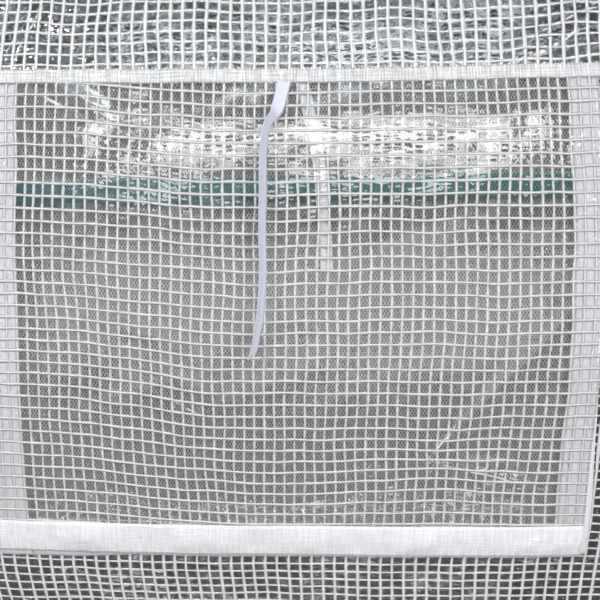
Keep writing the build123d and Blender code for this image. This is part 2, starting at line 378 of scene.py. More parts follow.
def puckerGroup():
    # The film between the threads: it puckers inside each cell, lies flat on the threads and rucks
    # up beside a seam.
    tree, given, result = nodeGroup(
        "filmPucker", "ShaderNodeTree",
        {"Vector": "Vector", "Across": 0.0107, "Along": 0.009, "Crinkle": 0.3, "Stretch": 1.0, "Seed": 0.0,
         "Seam": 0.9, "Seam Reach": 0.02, "Calm Above": 9.0},
        {"Height": "Float", "Haze": "Float", "Wandered": "Vector", "Broken": "Float"})
    place = axes(tree, given["Vector"])
    sides = []
    for axis, pitch in (("X", "Across"), ("Y", "Along")):
        turns = maths(tree, "DIVIDE", place[axis], given[pitch])
        sides.append(maths(tree, "ABSOLUTE", maths(tree, "SINE", times(tree, turns, math.pi))))
    pane = maths(tree, "POWER", times(tree, sides[0], sides[1]), 0.8)
    drawn = put(tree, "ShaderNodeCombineXYZ", X=times(tree, place["X"], given["Stretch"]),
                Y=place["Y"], Z=given["Seed"])
    fine = noise(tree, drawn, 160.0, 0.6, Roughness=0.45, Distortion=0.3)
    bulge = noise(tree, drawn, 45.0, 0.0)
    broad = noise(tree, drawn, 16.0, 1.0)
    fromSeam = maths(tree, "ABSOLUTE", minus(tree, place["Y"], given["Seam"]))
    near = minus(tree, 1.0, maths(tree, "DIVIDE", fromSeam, given["Seam Reach"]), clamp=True)
    amount = timesPlus(tree, near, 4.0, mapped(tree, broad, 0.40, 0.62, 0.55, 1.6))
    ruck = times(tree, minus(tree, fine, 0.5), given["Crinkle"])
    swell = times(tree, minus(tree, bulge, 0.38), 0.6)
    inside = plus(tree, times(tree, ruck, amount), swell)
    above = minus(tree, place["Y"], given["Calm Above"])
    calm = mapped(tree, above, -0.010, 0.004, 1.0, 0.3)
    feed(result["Height"], times(tree, pane, inside, calm))
    feed(result["Haze"], times(tree, broad, 0.025))
    wandered = vectorMaths(tree, "MULTIPLY_ADD", bulge.outputs["Color"], (0.010, 0.010, 0.0), given["Vector"])
    feed(result["Wandered"], wandered[0])
    feed(result["Broken"], mapped(tree, fine, 0.44, 0.56, 0.15))
    return tree


def weaveGroup():
    # Plain weave, ribs across X and picks across Y, with uneven yarns: a height, and painted shade from the
    # hollows to the crowns, darkest in the hollows.
    tree, given, result = nodeGroup(
        "plainWeave", "ShaderNodeTree",
        {"Vector": "Vector", "Rib": 0.0015, "Pick": 0.0008, "Uneven": 0.5, "Streaks": 0.5},
        {"Height": "Float", "Shade": "Float"})
    slow = noise(tree, given["Vector"], 45.0, 2.0)
    place = axes(tree, given["Vector"])
    yarns, streaks = [], []
    for axis, pitch, drawn in (("X", "Rib", (1.0, 0.07, 1.0)), ("Y", "Pick", (0.07, 1.0, 1.0))):
        turns = maths(tree, "DIVIDE", place[axis], given[pitch])
        wander = times(tree, slow, given["Uneven"])
        angle = times(tree, plus(tree, turns, wander), 2 * math.pi)
        yarns.append(timesPlus(tree, maths(tree, "SINE", angle), 0.5, 0.5))
        stretched = vectorMaths(tree, "MULTIPLY", given["Vector"], drawn)[0]
        streaks.append(noise(tree, stretched, 620.0, 2.0, Roughness=0.6))
    both = timesPlus(tree, yarns[0], 0.65, times(tree, yarns[1], 0.35))
    mixed = timesPlus(tree, streaks[0], 0.6, times(tree, streaks[1], 0.4))
    streaked = times(tree, minus(tree, mixed, 0.5), given["Streaks"])
    feed(result["Height"], plus(tree, both, streaked))
    feed(result["Shade"], timesPlus(tree, both, 0.5, timesPlus(tree, streaked, 3.0, 0.25), clamp=True))
    return tree


def grimeGroup():
    # thin, patchy dust: a mask from 0 to 1
    tree, given, result = nodeGroup("grime", "ShaderNodeTree",
                                    {"Vector": "Vector", "Size": 9.0, "Amount": 0.5}, {"Mask": "Float"})
    patches = mapped(tree, noise(tree, given["Vector"], given["Size"], 5.0, Roughness=0.62), 0.42, 0.72)
    specks = mapped(tree, noise(tree, given["Vector"], 210.0, 2.0), 0.52, 0.75)
    both = timesPlus(tree, patches, 0.6, times(tree, specks, 0.4))
    feed(result["Mask"], times(tree, both, given["Amount"]))
    return tree


def paintedGlintGroup():
    # a painted glint: a pale line along a crease in the film, broken, and faded at both ends of its run
    tree, given, result = nodeGroup(
        "paintedGlint", "ShaderNodeTree",
        {"Vector": "Vector", "From": "Vector", "Run": "Vector", "Per Square": 1.0, "Width": 0.001,
         "Broken": 1.0}, {"Mask": "Float"})
    off = vectorMaths(tree, "SUBTRACT", given["Vector"], given["From"])[0]
    dot = vectorMaths(tree, "DOT_PRODUCT", off, given["Run"])["Value"]
    part = maths(tree, "MULTIPLY", dot, given["Per Square"], clamp=True)
    foot = put(tree, "ShaderNodeVectorMath", {"operation": "SCALE"}, Vector=given["Run"], Scale=part)
    apart = vectorMaths(tree, "DISTANCE", off, foot)["Value"]
    line = minus(tree, 1.0, maths(tree, "DIVIDE", apart, given["Width"]), clamp=True)
    taper = maths(tree, "SINE", times(tree, part, math.pi))
    feed(result["Mask"], times(tree, line, taper, given["Broken"]))
    return tree


filmPucker, plainWeave, grime, paintedGlint = puckerGroup(), weaveGroup(), grimeGroup(), paintedGlintGroup()


def newMaterial(name):
    material = bpy.data.materials.new(name)
    material.use_nodes = True
    material.node_tree.nodes.clear()
    return material, material.node_tree


def shown(material, shader):
    put(material.node_tree, "ShaderNodeOutputMaterial", Surface=shader)
    return material


def grouped(tree, group, **inputs):
    return put(tree, "ShaderNodeGroup", {"node_tree": group}, **inputs)


def twoTone(tree, mask, low, high):
    # each end is a colour or another node's output
    mix = put(tree, "ShaderNodeMix", {"data_type": "RGBA"}, Factor=mask)
    for socket, colour in zip([socket for socket in mix.inputs if socket.type == "RGBA"], (low, high)):
        feed(socket, (*colour, 1) if isinstance(colour, tuple) else colour)
    return [socket for socket in mix.outputs if socket.type == "RGBA"][0]


def filmMaterial(name, look):
    # clear film: see-through, glossy by the angle it is seen at, a little hazy, and with painted glints along
    # its creases
    material, tree = newMaterial(name)
    cloth = put(tree, "ShaderNodeUVMap", {"uv_map": "cloth"})
    pucker = grouped(tree, filmPucker, Vector=cloth, Across=look["across"], Along=look["along"],
                     Crinkle=look["crinkle"], Stretch=look["stretch"], Seed=look["seed"],
                     Seam=look["seam"], Seam_Reach=look["seamReach"], Calm_Above=look["calmAbove"]).outputs
    bump = put(tree, "ShaderNodeBump", Strength=1.0, Distance=look["depth"], Height=pucker["Height"])
    hazeAndGlints = pucker["Haze"]
    # painted glints: pale lines along the creases, added to the haze so that the hazy shader shows them
    for (x0, s0), (x1, s1), width in look["paintedGlints"]:
        line = grouped(tree, paintedGlint, From=(x0, s0, 0), Run=(x1 - x0, s1 - s0, 0), Width=width,
                       Per_Square=1 / ((x1 - x0) ** 2 + (s1 - s0) ** 2), Vector=pucker["Wandered"],
                       Broken=pucker["Broken"])
        hazeAndGlints = plus(tree, hazeAndGlints, line, clamp=True)
    clear = put(tree, "ShaderNodeBsdfTransparent", Color=(*look["tint"], 1))
    milkAndGlints = put(tree, "ShaderNodeBsdfPrincipled", Base_Color=(*look["milkAndGlints"], 1), Roughness=0.5, Normal=bump)
    gloss = put(tree, "ShaderNodeBsdfPrincipled", Base_Color=(1, 1, 1, 1), Metallic=1.0,
                Roughness=look["roughness"], Normal=bump)
    facing = put(tree, "ShaderNodeLayerWeight", Blend=0.5, Normal=bump).outputs["Facing"]
    share = timesPlus(tree, maths(tree, "POWER", facing, 5.0), 0.9, look["shine"])
    whole = clear
    for amount, over in ((hazeAndGlints, milkAndGlints), (share, gloss)):
        mix = put(tree, "ShaderNodeMixShader")
        for socket, value in zip(mix.inputs, (amount, whole, over)):
            feed(socket, value)
        whole = mix
    return shown(material, whole)


def threadMaterial(name, light, dark, roughness, coat, shadedBand=None):
    material, tree = newMaterial(name)
    where = put(tree, "ShaderNodeTexCoord").outputs["Object"]
    fibres = put(tree, "ShaderNodeBump", Strength=0.35, Distance=0.0002,
                 Height=noise(tree, where, 1900.0, 2.0))
    shade = twoTone(tree, noise(tree, where, 160.0, 3.0), dark, light)
    if shadedBand is not None:
        # painted shade: darker and tinted teal in a band at a level tube's height
        height = axes(tree, where)["Z"]
        off = maths(tree, "ABSOLUTE", minus(tree, height, shadedBand["height"]))
        shade = twoTone(tree, mapped(tree, off, *shadedBand["fade"]), shade, shadedBand["colour"])
    body = put(tree, "ShaderNodeBsdfPrincipled", Base_Color=shade, Roughness=roughness, Coat_Weight=coat,
               Coat_Roughness=0.12, Normal=fibres)
    return shown(material, body)


def tapeMaterial(name, look):
    material, tree = newMaterial(name)
    cloth = put(tree, "ShaderNodeUVMap", {"uv_map": "cloth"})
    weave = grouped(tree, plainWeave, Vector=cloth, Rib=look["rib"], Pick=look["pick"],
                    Uneven=look["uneven"], Streaks=look["streaks"]).outputs
    dust = grouped(tree, grime, Vector=cloth, Size=14.0, Amount=look["dust"])
    bump = put(tree, "ShaderNodeBump", Strength=0.8, Distance=look["depth"], Height=weave["Height"])
    # painted shade: the weave's hollows take the darker hollow colour, its crowns the yarn colour
    yarn = twoTone(tree, weave["Shade"], look["hollow"], look["yarn"])
    if "paleFade" in look:
        # low down its weave and the painted shade in its hollows fade into one even tone
        pale = mapped(tree, axes(tree, cloth)["Y"], *look["paleFade"])
        yarn = twoTone(tree, pale, yarn, look["pale"])
    body = put(tree, "ShaderNodeBsdfPrincipled", Base_Color=twoTone(tree, dust, yarn, (0.50, 0.48, 0.43)),
               Roughness=look["roughness"], Sheen_Weight=0.25, Sheen_Roughness=0.4, Normal=bump)
    return shown(material, body)


def tubeMaterial(name, look):
    # powder coat with orange peel and dust, chipped to the steel here and there
    material, tree = newMaterial(name)
    where = put(tree, "ShaderNodeTexCoord").outputs["Object"]
    peel = put(tree, "ShaderNodeBump", Strength=0.25, Distance=0.0002, Height=noise(tree, where, 520.0, 1.0))
    dust = grouped(tree, grime, Vector=where, Size=11.0, Amount=look["dust"])
    chip = mapped(tree, noise(tree, where, 95.0, 5.0, Roughness=0.7), look["chipFrom"],
                  look["chipFrom"] + 0.03)
    paint = twoTone(tree, noise(tree, where, 14.0, 4.0), look["paint"], look["paintLight"])
    worn = twoTone(tree, chip, paint, look["steel"])
    body = put(tree, "ShaderNodeBsdfPrincipled", Coat_Weight=look["coat"], Coat_Roughness=0.18, Normal=peel,
               Base_Color=twoTone(tree, dust, worn, look["dustColour"]),
               Metallic=times(tree, chip, 0.8),
               Roughness=timesPlus(tree, dust, 0.4, look["roughness"]))
    return shown(material, body)


filmLook = {"depth": 0.0010, "tint": (0.95, 0.95, 0.95), "milkAndGlints": (0.85, 0.87, 0.88), "roughness": 0.03,
            "shine": 0.06}
# Painted glints, pale lines along creases of the film: from and to (across, along), which the film's waves
# shift by about (-0.005, -0.005), and width.
coverFilmLook = dict(
    filmLook, across=0.0107, along=0.0090, crinkle=1.90, stretch=0.8, seed=3.0, seam=flapFoot - 0.004,
    seamReach=0.020, calmAbove=9.0,
    paintedGlints=[((0.283, 1.386), (0.261, 1.331), 0.0014), ((0.275, 1.386), (0.254, 1.341), 0.0011),
             ((0.685, 1.327), (0.795, 1.368), 0.0018), ((0.695, 1.345), (0.790, 1.387), 0.0015)])
flapFilmLook = dict(
    filmLook, across=0.0090, along=0.0107, crinkle=0.75, stretch=0.35, seed=8.0,
    seam=openFoot + 0.006, seamReach=0.022, calmAbove=1.288,
    paintedGlints=[((0.285, 1.301), (0.339, 1.275), 0.0018), ((0.655, 1.036), (0.622, 0.983), 0.0016),
             ((0.627, 0.984), (0.740, 0.961), 0.0014), ((0.390, 1.045), (0.427, 1.035), 0.0012),
             ((0.340, 1.093), (0.380, 1.083), 0.0010)])
# Each tape's hollow colour is painted shade in its weave's hollows, and the side tapes' bluish tint is
# painted shade as well.
sideTapeLook = {"rib": 0.0019, "pick": 0.0011, "uneven": 0.35, "streaks": 0.7, "dust": 0.05,
                "roughness": 0.55, "depth": 0.0004, "hollow": (0.80, 0.80, 0.88), "yarn": (0.96, 0.96, 0.99)}
flapTapeLook = dict(sideTapeLook, paleFade=(0.949, 0.941), pale=(0.88, 0.88, 0.91))
footTapeLook = {"rib": 0.0016, "pick": 0.0021, "uneven": 2.4, "streaks": 1.5, "dust": 0.05,
                "roughness": 0.45, "depth": 0.0003, "hollow": (0.72, 0.72, 0.76), "yarn": (0.90, 0.90, 0.92)}
bindingLook = {"rib": 0.0026, "pick": 0.0029, "uneven": 1.1, "streaks": 1.3, "dust": 0.30, "roughness": 0.5,
               "depth": 0.0007, "hollow": (0.44, 0.44, 0.46), "yarn": (0.87, 0.87, 0.87)}
# painted shade: the front tie's cloth is a darker, bluer copy of the back tie's
shadedFrontTieLook = {"rib": 0.0012, "pick": 0.0008, "uneven": 0.15, "streaks": 0.3, "dust": 0.05,
                "roughness": 0.5, "depth": 0.0003, "hollow": (0.61, 0.63, 0.75), "yarn": (0.76, 0.78, 0.90)}
backTieLook = dict(shadedFrontTieLook, hollow=(0.85, 0.85, 0.90), yarn=(0.97, 0.97, 0.99))
paintedLook = {"paint": (0.002, 0.150, 0.158), "paintLight": (0.004, 0.225, 0.235), "roughness": 0.34,
               "coat": 0.5, "dust": 0.35, "chipFrom": 0.70, "steel": (0.45, 0.45, 0.44),
               "dustColour": (0.30, 0.29, 0.25)}
plugLook = dict(paintedLook, paint=(0.012, 0.012, 0.013), paintLight=(0.030, 0.030, 0.031),
                roughness=0.5, coat=0.1, chipFrom=0.95, dust=0.6)
steelLook = dict(paintedLook, paint=(0.42, 0.42, 0.43), paintLight=(0.58, 0.58, 0.58),
                 roughness=0.32, coat=0.0, chipFrom=0.95, dust=0.3)
# painted shade on the netting in front of the window purlin: the band's height, its fade and its darker teal
netShadeBand = {"height": 1.2195, "fade": (0.0125, 0.0095), "colour": (0.22, 0.42, 0.42)}

coverFilm = filmMaterial("coverFilm", coverFilmLook)
flapFilm = filmMaterial("flapFilm", flapFilmLook)
# painted shade: the flap's threads, from the same film as the cover's, are given darker colours than the
# cover's threads
coverUprightThread = threadMaterial("coverUprightThread", (0.82, 0.83, 0.86), (0.63, 0.64, 0.67), 0.42, 0.4)
flapUprightThread = threadMaterial("flapUprightThread", (0.78, 0.78, 0.79), (0.60, 0.60, 0.61), 0.42, 0.3)
coverLevelThread = threadMaterial("coverLevelThread", (0.84, 0.84, 0.83), (0.67, 0.67, 0.66), 0.42, 0.4)
flapLevelThread = threadMaterial("flapLevelThread", (0.77, 0.77, 0.75), (0.55, 0.55, 0.54), 0.42, 0.4)
netThread = threadMaterial("netThread", (0.90, 0.89, 0.88), (0.76, 0.75, 0.74), 0.45, 0.0, netShadeBand)
sewingThread = threadMaterial("sewingThread", (0.88, 0.88, 0.87), (0.72, 0.72, 0.72), 0.5, 0.0)
sideTape = tapeMaterial("sideTape", sideTapeLook)
flapTape = tapeMaterial("flapTape", flapTapeLook)
footTape = tapeMaterial("footTape", footTapeLook)
bindingCloth = tapeMaterial("bindingCloth", bindingLook)
shadedFrontTieCloth = tapeMaterial("shadedFrontTieCloth", shadedFrontTieLook)
backTieCloth = tapeMaterial("backTieCloth", backTieLook)
paintedTube = tubeMaterial("paintedTube", paintedLook)
plugPlastic = tubeMaterial("plugPlastic", plugLook)
zincSteel = tubeMaterial("zincSteel", steelLook)
print("materials made")

threads, stitches = threadTree(), stitchTree()


def threadObject(name, lines, place, width, cut, material):
    sizes = {"Width": width, "Thickness": cut["threadThickness"], "Sides": 4, "Uneven": cut["uneven"]}
    return grownObject(name, lines, place, threads, sizes, material)


coverCut = {"cell": 0.0105, "thickness": 0.0003, "threadAcross": 0.0107, "threadAlong": 0.0090,
            "uprightWidth": 0.0030, "levelWidth": 0.0024, "threadThickness": 0.0007,
            "crossing": 0.00012, "wander": 0.0005, "wanderWaves": (0.03, 0.16), "ruck": 0.0022,
            "ruckWaves": (0.045, 0.20), "climbWaves": (0.040, 0.16), "ruckFrom": 1.0, "puff": 0.0007,
            "puffWaves": (0.030, 0.11), "looseFrom": 0.014, "fade": (0.10, 0.30), "uneven": 1.1, "seed": 21}

# Folds in the cover and in the flap: where each starts and ends (across, along), height and width.
coverFolds = [((0.268, 1.325), (0.292, 1.410), 0.0013, 0.005),
              ((0.672, 1.326), (0.785, 1.376), 0.0030, 0.006),
              ((0.610, 1.330), (0.640, 1.352), 0.0018, 0.004),
              ((0.380, 1.335), (0.398, 1.420), 0.0020, 0.006),
              ((0.470, 1.345), (0.560, 1.372), 0.0018, 0.006)]


def foldHeight(across, along, folds):
    total = np.zeros(np.shape(across))
    for (x0, s0), (x1, s1), height, width in folds:
        length = math.hypot(x1 - x0, s1 - s0)
        part = ((across - x0) * (x1 - x0) + (along - s0) * (s1 - s0)) / length ** 2
        off = ((across - x0) * (s1 - s0) - (along - s0) * (x1 - x0)) / length
        taper = ease(part, -0.15, 0.35) * (1 - ease(part, 0.65, 1.15))
        total = total + height * taper * np.exp(-np.abs(off / width) ** 1.3)
    return total


def coverPlace(across, along, outward):
    # round the window the cover is rucked, in its own plane and out of it, and less so lower down
    clear = np.maximum(np.maximum(flapLeft - across, across - flapRight),
                       np.maximum(flapFoot - along, along - openHead))
    free = ease(clear, 0.0, coverCut["looseFrom"])
    near = 1 - ease(clear, *coverCut["fade"])
    ruck = coverCut["ruck"] * free * near * (0.3 + 0.7 * ease(along, coverCut["ruckFrom"], openHead))
    shift = ruck * waves(across, along, coverCut["seed"] + 5, *coverCut["ruckWaves"])
    climb = ruck * waves(across, along, coverCut["seed"] + 6, *coverCut["climbWaves"])
    puff = coverCut["puff"] * free * near * waves(across, along, coverCut["seed"] + 7, *coverCut["puffWaves"])
    lift = puff + free * foldHeight(across, along, coverFolds)
    return hang(across + shift, along + climb, layer["cover"] + lift + outward)


coverSheet = sheetObject("coverFilm", [cover["left"], openLeft, openRight, cover["right"]],
                         [cover["foot"], openFoot, openHead, cover["head"]], coverCut["cell"],
                         coverPlace, coverCut["thickness"], coverFilm, hole=opening)


def laidThreads(fixed, free, upright, gap, crossing, cut, seed):
    # straight threads at the fixed places, each from end to end or broken by the gap
    lines = []
    for place in fixed:
        runs = [free]
        if gap is not None and gap[0][0] < place < gap[0][1]:
            runs = [(free[0], gap[1][0]), (gap[1][1], free[1])]
        for start, end in runs:
            run = np.linspace(start, end, max(2, round((end - start) / cut["cell"]) + 1))
            drift = cut["wander"] * waves(run, run * 0 + place, seed, *cut["wanderWaves"])
            across, along = (place + drift, run) if upright else (run, place + drift)
            lines.append((across, along, np.full(len(run), crossing)))
    return lines


def pitchLines(low, high, pitch):
    # multiples of the pitch, which are the places where the film's own pattern is flat
    return np.arange(math.ceil(low / pitch), math.floor(high / pitch) + 1) * pitch


threadInset = 0.001  # from a sheet's edge to where its first thread may lie
uprights = laidThreads(pitchLines(cover["left"] + threadInset, cover["right"] - threadInset,
                                  coverCut["threadAcross"]),
                       (cover["foot"], cover["head"]), True, (opening[:2], opening[2:]),
                       coverCut["crossing"], coverCut, coverCut["seed"])
levels = laidThreads(pitchLines(cover["foot"] + threadInset, cover["head"] - threadInset,
                                coverCut["threadAlong"]),
                     (cover["left"], cover["right"]), False, (opening[2:], opening[:2]),
                     -coverCut["crossing"], coverCut, coverCut["seed"] + 1)
coverUprights = threadObject("coverUprightThreads", uprights, coverPlace, coverCut["uprightWidth"], coverCut,
                             coverUprightThread)
coverLevels = threadObject("coverLevelThreads", levels, coverPlace, coverCut["levelWidth"], coverCut,
                           coverLevelThread)
print("cover made,", len(uprights), "upright and", len(levels), "level threads")

netCut = {"diamondWidth": 0.0028, "diamondHeight": 0.0047, "thread": 0.00060, "threadThickness": 0.00066,
          "step": 0.0108, "crossing": 0.00010, "uneven": 0.0}


def netPlace(across, along, outward):
    return hang(across, along, layer["net"] + outward)


def diagonalLines(leftSide, rightSide, foot, head, rise, outward):
    # parallel diagonals across a rectangle, each cut at its sides
    lines = []
    spacing, height = netCut["diamondWidth"], head - foot
    reach = height / abs(rise)
    first, last = (leftSide - reach, rightSide) if rise > 0 else (leftSide, rightSide + reach)
    for number in range(math.floor((last - first) / spacing) + 1):
        atFoot = first + number * spacing
        ends = sorted((atFoot, atFoot + height / rise))
        low, high = max(ends[0], leftSide), min(ends[1], rightSide)
        if high - low < spacing / 2:
            continue
        across = np.linspace(low, high, max(2, round((high - low) / netCut["step"]) + 1))
        lines.append((across, foot + (across - atFoot) * rise, np.full(len(across), outward)))
    return lines


netSides = (openLeft - window["netMargin"], openRight + window["netMargin"],
            openFoot - window["netMargin"], openHead + window["netMargin"])
netRise = netCut["diamondHeight"] / netCut["diamondWidth"]
netLines = diagonalLines(*netSides, netRise, netCut["crossing"])
netLines += diagonalLines(*netSides, -netRise, -netCut["crossing"])
insectNet = threadObject("insectNetting", netLines, netPlace, netCut["thread"], netCut, netThread)
print("netting made,", len(netLines), "threads,", len(insectNet.data.polygons), "faces")

# The flap was cut from the same film turned a quarter. Its level threads climb towards its sides.
flapCut = {"cell": 0.0045, "thickness": 0.0003, "threadAcross": 0.0090, "threadAlong": 0.0107,
           "uprightWidth": 0.0025, "levelWidth": 0.0026, "threadThickness": 0.0007, "crossing": 0.00012,
           "wander": 0.0005, "wanderWaves": (0.03, 0.16), "ruck": 0.0008, "ruckWaves": (0.030, 0.13),
           "climbWaves": (0.035, 0.12), "ruckFrom": 0.030, "leftClimb": 0.0097, "leftClimbMore": 0.0065,
           "moreAt": 0.30, "moreReach": 0.20, "climbFade": (0.275, 0.465), "climbRoom": 0.02,
           "pullFrom": 0.055, "puff": 0.0015, "puffFade": (-0.002, 0.045), "puffWaves": (0.035, 0.15),
           "fine": 0.00010, "fineWaves": (0.011, 0.03), "foldFade": (-0.02, 0.01), "uneven": 1.3, "seed": 31}

flapFolds = [((0.742, 1.125), (0.620, 0.985), 0.0022, 0.005),
             ((0.620, 0.988), (0.745, 0.972), 0.0018, 0.006),
             ((0.395, 1.063), (0.430, 1.050), 0.0014, 0.005),
             ((0.290, 1.316), (0.345, 1.286), 0.0024, 0.005),
             ((0.345, 1.110), (0.385, 1.098), 0.0014, 0.004)]

# Where the flap is pulled out of true: a place (across, along), how far the pull reaches each way,
# and how far it moves the film sideways and up.
flapPulls = [((0.575, 1.150), (0.055, 0.130), (0.0, 0.0018)),
             ((0.625, 0.960), (0.075, 0.034), (0.0, 0.0055)),
             ((0.290, 1.215), (0.045, 0.080), (-0.0035, 0.0)),
             ((0.550, 1.330), (0.230, 0.110), (0.0042, 0.0)),
             ((0.400, 0.905), (0.075, 0.075), (0.0072, 0.0)),
             ((0.560, 0.905), (0.080, 0.070), (0.0040, 0.0)),
             ((0.712, 0.925), (0.040, 0.060), (-0.0040, 0.0))]


def pulled(across, along):
    # the sum of the pulls, which fade out towards the sewn sides
    free = ease(np.minimum(across - flapLeft, flapRight - across), window["tape"], flapCut["pullFrom"])
    sideways, up = np.zeros(np.shape(across)), np.zeros(np.shape(across))
    for (x, s), (reachX, reachS), (moveX, moveS) in flapPulls:
        share = free * np.exp(-((across - x) / reachX) ** 2 - ((along - s) / reachS) ** 2)
        sideways, up = sideways + share * moveX, up + share * moveS
    return sideways, up


def threadClimb(across, along):
    # how far above its level place a level thread of the flap lies
    level = (along - openFoot) / (openHead - openFoot)
    more = np.exp(-((level - flapCut["moreAt"]) / flapCut["moreReach"]) ** 2)
    climb = flapCut["leftClimb"] + flapCut["leftClimbMore"] * more
    return climb * (1 - ease(across, *flapCut["climbFade"]))


def fromEdge(across, along, leftSide, rightSide):
    return np.minimum(np.minimum(across - leftSide, rightSide - across),
                      np.minimum(along - openFoot, openHead - along))


def flapStandOff(across, along):
    # how far the flap stands off the netting: nothing at its sewn edges, a little in the middle
    edge = fromEdge(across, along, openLeft, openRight)
    loose = ease(edge, *flapCut["puffFade"])
    own = 0.5 + 0.5 * waves(across, along, flapCut["seed"], *flapCut["puffWaves"])
    fine = flapCut["fine"] * waves(across, along, flapCut["seed"] + 1, *flapCut["fineWaves"])
    folds = ease(edge, *flapCut["foldFade"]) * foldHeight(across, along, flapFolds)
    return loose * flapCut["puff"] * np.clip(own, 0, 1.2) + fine + folds


def flapPlace(across, along, outward):
    ruck = flapCut["ruck"] * ease(fromEdge(across, along, flapLeft, flapRight), 0.0, flapCut["ruckFrom"])
    shift = ruck * waves(across, along, flapCut["seed"] + 5, *flapCut["ruckWaves"])
    climb = ruck * waves(across, along, flapCut["seed"] + 6, *flapCut["climbWaves"])
    sideways, up = pulled(across, along)
    return hang(across + shift + sideways, along + climb + up,
                layer["flap"] + flapStandOff(across, along) + outward)


flapSheet = sheetObject("flapFilm", [flapLeft, openLeft, openRight, flapRight],
                        [flapFoot, openFoot, openHead, flapHead], flapCut["cell"], flapPlace,
                        flapCut["thickness"], flapFilm, cloth=lambda x, s: [x, s - threadClimb(x, s)])

flapUprights = laidThreads(pitchLines(flapLeft + threadInset, flapRight - threadInset,
                                      flapCut["threadAcross"]),
                           (flapFoot, flapHead), True, None, -flapCut["crossing"], flapCut,
                           flapCut["seed"] + 2)
flapLevels = []
for place in pitchLines(flapFoot - flapCut["climbRoom"], flapHead, flapCut["threadAlong"]):
    run = np.linspace(flapLeft, flapRight, round((flapRight - flapLeft) / flapCut["cell"]) + 1)
    drift = flapCut["wander"] * waves(run, run * 0 + place, flapCut["seed"] + 3, *flapCut["wanderWaves"])
    level = place + threadClimb(run, place + threadClimb(run, place)) + drift
    onFlap = (level >= flapFoot) & (level <= flapHead)
    if onFlap.sum() > 3:
        flapLevels.append((run[onFlap], level[onFlap], np.full(len(run), flapCut["crossing"])[onFlap]))
flapUprightThreads = threadObject("flapUprightThreads", flapUprights, flapPlace, flapCut["uprightWidth"],
                                  flapCut, flapUprightThread)
flapLevelThreads = threadObject("flapLevelThreads", flapLevels, flapPlace, flapCut["levelWidth"], flapCut,
                                flapLevelThread)
print("flap made,", len(flapUprights), "upright and", len(flapLevels), "level threads")

tapeCut = {"cell": 0.004, "thickness": 0.0009, "footThickness": 0.0006, "gather": 0.0002,
           "gatherWaves": (0.012, 0.05), "coverShift": 0.0050, "coverDrop": 0.0070, "fadeUp": (0.02, 0.16),
           "fadeRight": (0.05, 0.19), "footGather": 0.0016, "footWaves": (0.007, 0.05), "footLean": 4.0,
           "fine": 0.00015, "fineWaves": (0.004, 0.012), "fineLean": 0.6, "seed": 41}
footFolds = [
    ((0.610, 0.884), (0.620, 0.922), 0.0040, 0.0045), ((0.622, 0.884), (0.633, 0.922), 0.0028, 0.0040),
    ((0.700, 0.890), (0.735, 0.912), 0.0026, 0.0045), ((0.716, 0.886), (0.752, 0.903), 0.0024, 0.0040),
    ((0.440, 0.886), (0.452, 0.918), 0.0022, 0.0045), ((0.302, 0.886), (0.312, 0.920), 0.0022, 0.0050)]


def sideTapePlace(level, shift=0.0, drop=0.0):
    def place(across, along, outward):
        gather = tapeCut["gather"] * waves(across, along, tapeCut["seed"], *tapeCut["gatherWaves"])
        low = 1 - ease(along - openFoot, *tapeCut["fadeUp"])
        left = 1 - ease(across - flapLeft, *tapeCut["fadeRight"])
        return hang(across + shift * low, along - drop * left * low, layer[level] + gather + outward)
    return place


def footTapePlace(across, along, outward):
    # sewn on the flap's face and gathered between its two seams
    part = np.clip((along - flapFoot) / window["footTape"], 0, 1)
    gather = waves(across, along, tapeCut["seed"] + 1, *tapeCut["footWaves"], lean=tapeCut["footLean"]) + 1
    fine = waves(across, along, tapeCut["seed"] + 2, *tapeCut["fineWaves"], lean=tapeCut["fineLean"])
    lift = tapeCut["footGather"] * gather * np.sin(part * math.pi) + tapeCut["fine"] * fine
    lift = lift + np.sin(part * math.pi) * foldHeight(across, along, footFolds)
    stand = np.maximum(0.0, flapStandOff(across, along))
    return hang(across, along, layer["footTape"] + stand + lift + outward)


leftSide, rightSide = (flapLeft, openLeft), (openRight, flapRight)
tall, low = (flapFoot, openHead), (flapFoot, openFoot)
droppedPlace = sideTapePlace("coverTape", drop=tapeCut["coverDrop"])
shiftedPlace = sideTapePlace("coverTape", shift=tapeCut["coverShift"])
flapTapePlace = sideTapePlace("flapTape")
tapePlan = [
    # name, node, across, along, place, thickness, material, whether its cloth lies a quarter turned
    ("coverLeftTape", "left_window_tape", leftSide, tall, droppedPlace, "thickness", sideTape, False),
    ("coverRightTape", "right_window_tape", rightSide, tall, shiftedPlace, "thickness", sideTape, False),
    ("coverFootTape", "foot_window_tape", opening[:2], low, droppedPlace, "thickness", sideTape, True),
    ("flapLeftTape", "left_flap_tape", leftSide, tall, flapTapePlace, "thickness", flapTape, False),
    ("flapRightTape", "right_flap_tape", rightSide, tall, flapTapePlace, "thickness", flapTape, False),
    ("flapFootTape", "foot_flap_tape", (flapLeft, flapRight), low, footTapePlace, "footThickness", footTape,
     False),
]
tapes = []
for name, node, spanAcross, spanAlong, place, thickness, material, turned in tapePlan:
    stops = sorted({*spanAcross, *(edge for edge in opening[:2] if spanAcross[0] < edge < spanAcross[1])})
    tape = sheetObject(name, stops, spanAlong, tapeCut["cell"], place, tapeCut[thickness], material,
                       (lambda x, s: [s, x]) if turned else None)
    tapes.append((tape, node, spanAcross, spanAlong))
print("tapes made,", len(tapes))

bindingCut = {"cutWidth": 0.021, "cell": 0.0035, "round": 0.0018, "gather": 0.00035,
              "gatherWaves": (0.007, 0.04), "creep": 0.0004, "creepWaves": (0.012, 0.09), "hollow": 0.0003,
              "hollowEdge": 0.0002, "hollowReach": 0.0025, "seed": 51}


